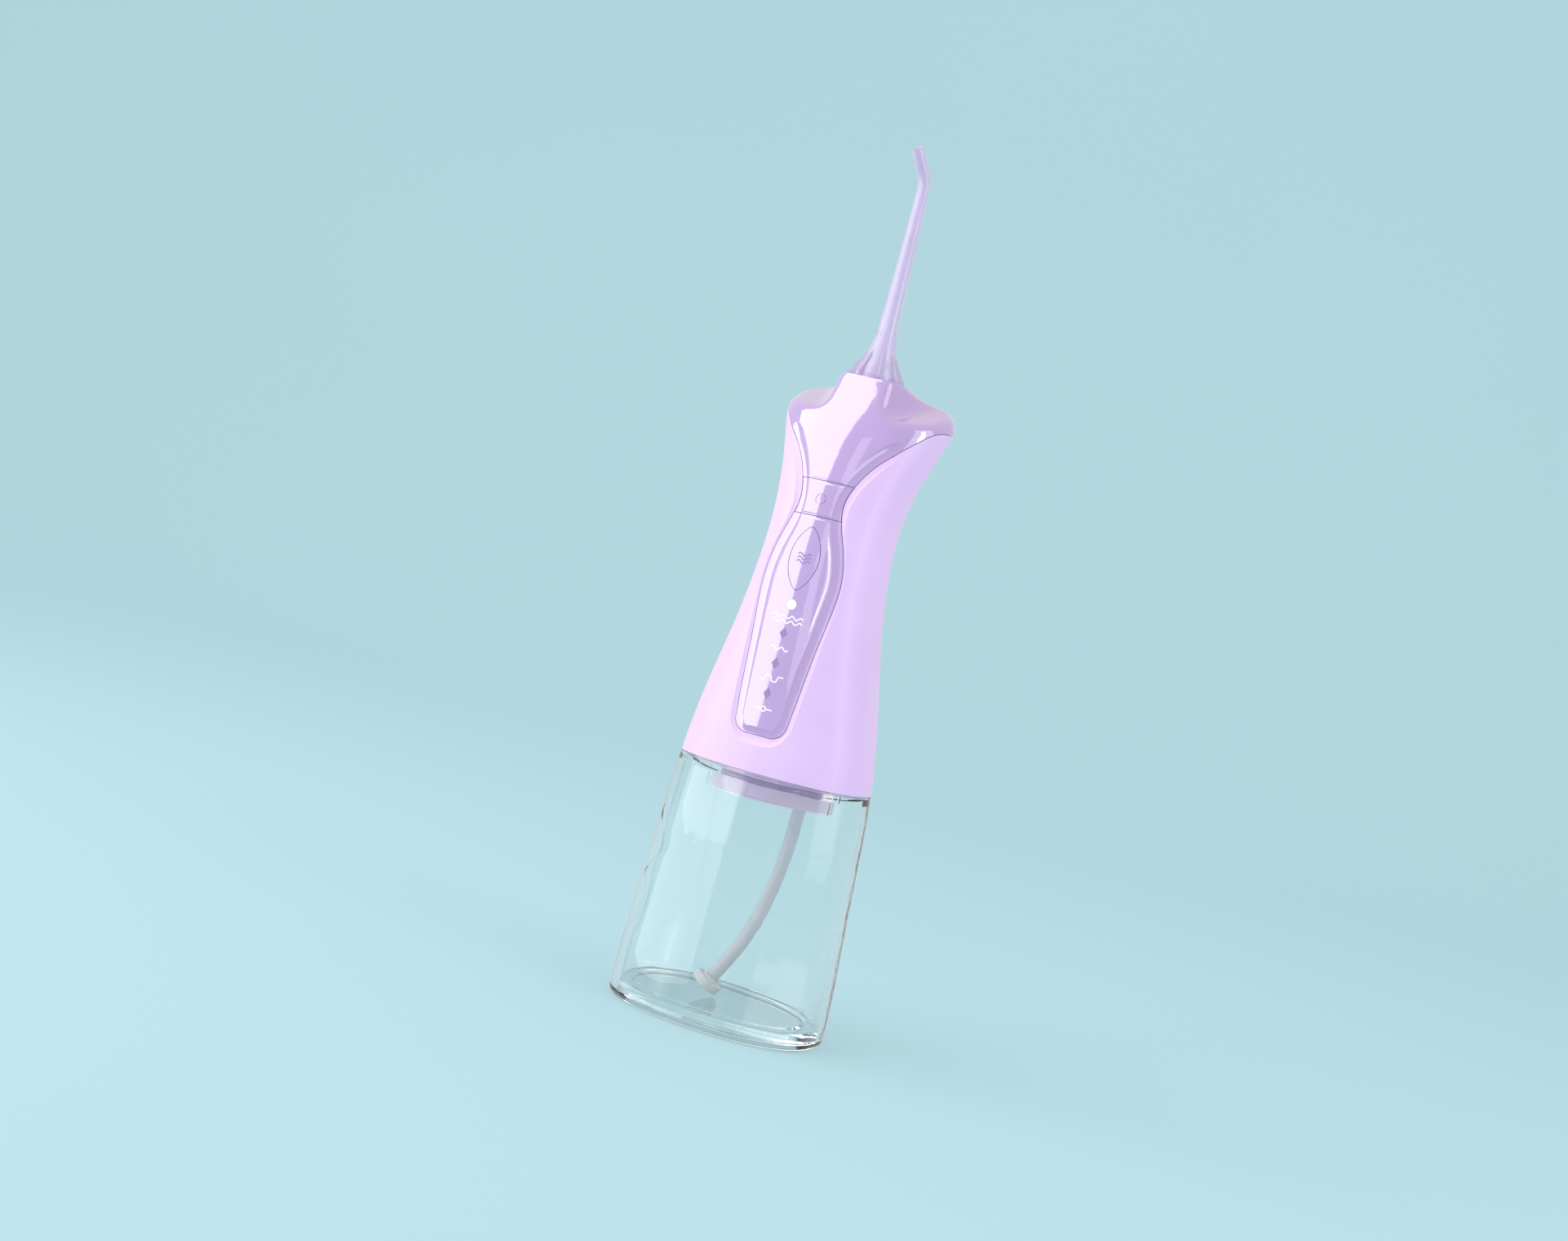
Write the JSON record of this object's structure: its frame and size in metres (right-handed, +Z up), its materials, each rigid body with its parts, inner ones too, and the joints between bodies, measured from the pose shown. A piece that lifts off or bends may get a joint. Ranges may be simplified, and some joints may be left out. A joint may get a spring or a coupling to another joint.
{
  "type": "water flosser",
  "caption": "Cordless handheld water flosser: clear water tank below a waisted handle with a glossy front cover, buttons and a slim angled jet nozzle.",
  "frame": {"origin": "middle of the tank's underside, on the surface it stands on", "axes": "+Z up along the handle, front face with the buttons towards -Y, +X to the right seen from the front"},
  "size_m": [0.0743, 0.0598, 0.2989],
  "materials": {
    "clear_tank": "clear tritan plastic",
    "satin_shell": "satin lilac moulded plastic",
    "gloss_cover": "high gloss lilac",
    "cap_plastic": "moulded lilac",
    "nozzle_plastic": "translucent lilac",
    "lamp_lit": "lit lens",
    "lamp_dark": "dark lens",
    "soft_tube": "translucent silicone",
    "weight_white": "frosted white",
    "seal_rubber": "silicone",
    "hose_rubber": "silicone",
    "black_rubber": "nitrile",
    "inner_plastic": "natural moulding",
    "steel": "brushed",
    "brass_gear": "turned",
    "acetal": "acetal",
    "board_green": "solder mask",
    "switch_black": "moulded",
    "cell_sleeve": "shrink sleeve"
  },
  "bodies": {
    "tank": {"tank_shell": "clear_tank", "tank_base": "clear_tank"},
    "handle": {"main_shell": "satin_shell", "head_cover": "gloss_cover", "control_panel": "gloss_cover", "base_cap": "cap_plastic", "neck_seal": "seal_rubber", "inlet_fitting": "cap_plastic", "inlet_hose": "hose_rubber", "outlet_hose": "hose_rubber", "suction_tube": "soft_tube", "suction_weight": "weight_white", "pump_motor": "steel", "motor_end_cap": "switch_black", "gear_axle": "steel", "pump_cylinder": "inner_plastic", "valve_block": "inner_plastic", "inlet_valve": "black_rubber", "outlet_valve": "black_rubber", "chassis": "inner_plastic", "battery_cell": "cell_sleeve", "main_board": "board_green", "board_spacers": "inner_plastic", "board_screws": "steel", "cap_screws": "steel", "charge_socket": "steel", "charge_board": "board_green", "round_light_pipe": "lamp_lit", "diamond_light_pipes": "lamp_dark", "indicator_leds": "lamp_lit", "button_membranes": "seal_rubber", "power_switch": "switch_black", "mode_switch": "switch_black", "nozzle_socket": "inner_plastic", "release_spring": "steel", "nozzle_clip": "steel"},
    "motor_rotor": {"motor_shaft": "steel", "motor_pinion": "brass_gear"},
    "crank": {"crank_gear": "acetal", "crank_pin": "steel"},
    "pump_piston": {"piston": "acetal", "piston_seal": "black_rubber", "wrist_pin": "steel", "connecting_rod": "acetal"},
    "power_key": {"power_button": "gloss_cover"},
    "mode_key": {"mode_button": "gloss_cover"},
    "port_flap": {"port_cover": "seal_rubber"},
    "release_key": {"release_button": "gloss_cover"},
    "nozzle_collar": {"socket_rotor": "nozzle_plastic", "rotor_seal": "black_rubber"},
    "nozzle_body": {"nozzle": "nozzle_plastic", "nozzle_seal": "black_rubber"}
  },
  "joints": [
    {"name": "handle_lift", "type": "slide", "parent": "tank", "child": "handle", "axis": [0, 0, 1], "range_m": [0, 0.085]},
    {"name": "power_press", "type": "slide", "parent": "handle", "child": "power_key", "axis": [0, 1, 0], "range_m": [0, 0.0006], "stiffness_N_per_m": 2500, "springref_m": -0.0003},
    {"name": "mode_press", "type": "slide", "parent": "handle", "child": "mode_key", "axis": [0, 1, 0], "range_m": [0, 0.0006], "stiffness_N_per_m": 2500, "springref_m": -0.0003},
    {"name": "release_press", "type": "slide", "parent": "handle", "child": "release_key", "axis": [0, -1, 0], "range_m": [0, 0.0015], "stiffness_N_per_m": 2000, "springref_m": -0.0005, "deforming": ["release_spring"]},
    {"name": "port_cover_hinge", "type": "hinge", "parent": "handle", "child": "port_flap", "pos_m": [0, 0.0258, 0.0963], "axis": [-1, 0, 0], "range_deg": [0, 100]},
    {"name": "nozzle_spin", "type": "hinge", "parent": "handle", "child": "nozzle_collar", "pos_m": [0, 0, 0.214], "axis": [0, 0, 1], "continuous": true},
    {"name": "nozzle_pull", "type": "slide", "parent": "nozzle_collar", "child": "nozzle_body", "axis": [0, 0, 1], "range_m": [0, 0.022], "deforming": ["nozzle_clip"]},
    {"name": "crank_spin", "type": "hinge", "parent": "handle", "child": "crank", "pos_m": [-0.006, 0.004, 0.1065], "axis": [0, 0, 1], "continuous": true},
    {"name": "motor_spin", "type": "hinge", "parent": "handle", "child": "motor_rotor", "pos_m": [0.0065, 0.004, 0.1065], "axis": [0, 0, 1], "continuous": true},
    {"name": "piston_stroke", "type": "slide", "parent": "handle", "child": "pump_piston", "axis": [1, 0, 0], "range_m": [-0.0015, 0.0015]}
  ],
  "couplings": [
    {"joint": "motor_spin", "follows": "crank_spin", "ratio": -4}
  ]
}
